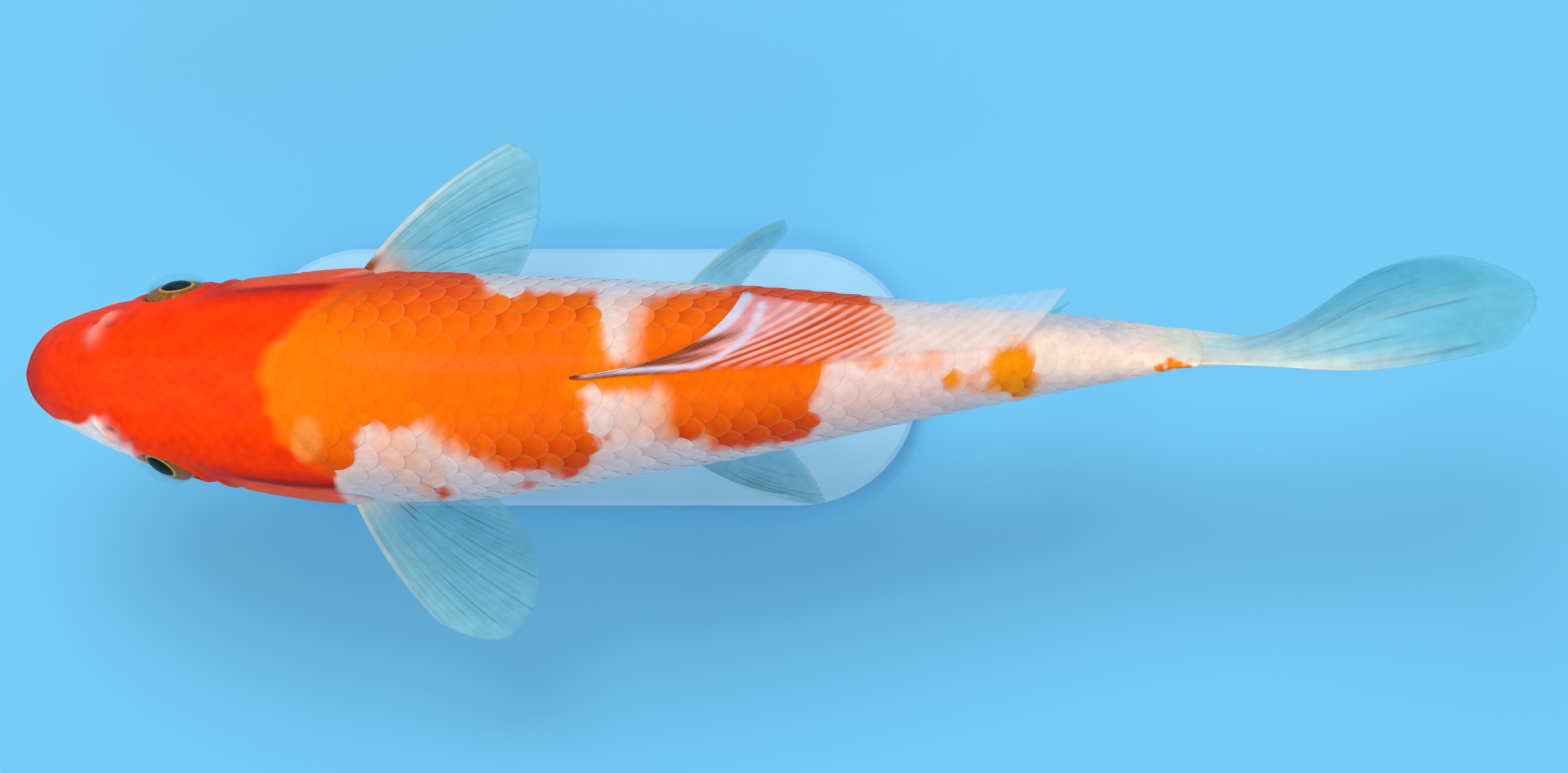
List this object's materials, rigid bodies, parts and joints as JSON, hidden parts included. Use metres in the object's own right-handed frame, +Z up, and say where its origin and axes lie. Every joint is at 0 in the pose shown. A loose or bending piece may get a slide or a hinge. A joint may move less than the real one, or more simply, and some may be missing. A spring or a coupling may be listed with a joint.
{
  "type": "koi carp",
  "caption": "Life-size still koi carp, white with red-orange plates, seen swimming with its fins spread and its back fin folded, held over a flat oval base by short rods.",
  "frame": {"origin": "centre of the stand base's underside, on the surface that it stands on", "axes": "+Z up; the fish looks along -X, so +X runs from its snout to its tail; its right side is +Y and its left side is -Y"},
  "size_m": [0.3464, 0.1191, 0.1368],
  "materials": {
    "red_skin": "wet, smooth scaleless skin",
    "orange_scales": "wet scales, orange plates on white",
    "pale_skin": "wet scales, creamy white",
    "clear_fin": "thin, rayed and see-through",
    "eye": "polished",
    "stand_paint": "satin",
    "stand_rod": "satin"
  },
  "bodies": {
    "root": {"head": "red_skin", "lower_jaw": "red_skin", "gill_cover_left": "red_skin", "gill_cover_right": "red_skin", "eye_left": "eye", "eye_right": "eye", "barbel_upper_left": "red_skin", "barbel_upper_right": "red_skin", "barbel_lower_left": "pale_skin", "barbel_lower_right": "pale_skin", "trunk": "orange_scales", "tail_stalk": "pale_skin", "pectoral_fin_left": "clear_fin", "pectoral_fin_right": "clear_fin", "pelvic_fin_left": "clear_fin", "pelvic_fin_right": "clear_fin", "dorsal_fin": "clear_fin", "anal_fin": "clear_fin", "caudal_fin_upper": "clear_fin", "caudal_fin_lower": "clear_fin", "stand_base": "stand_paint", "stand_rod_front": "stand_rod", "stand_rod_rear": "stand_rod"}
  },
  "joints": []
}
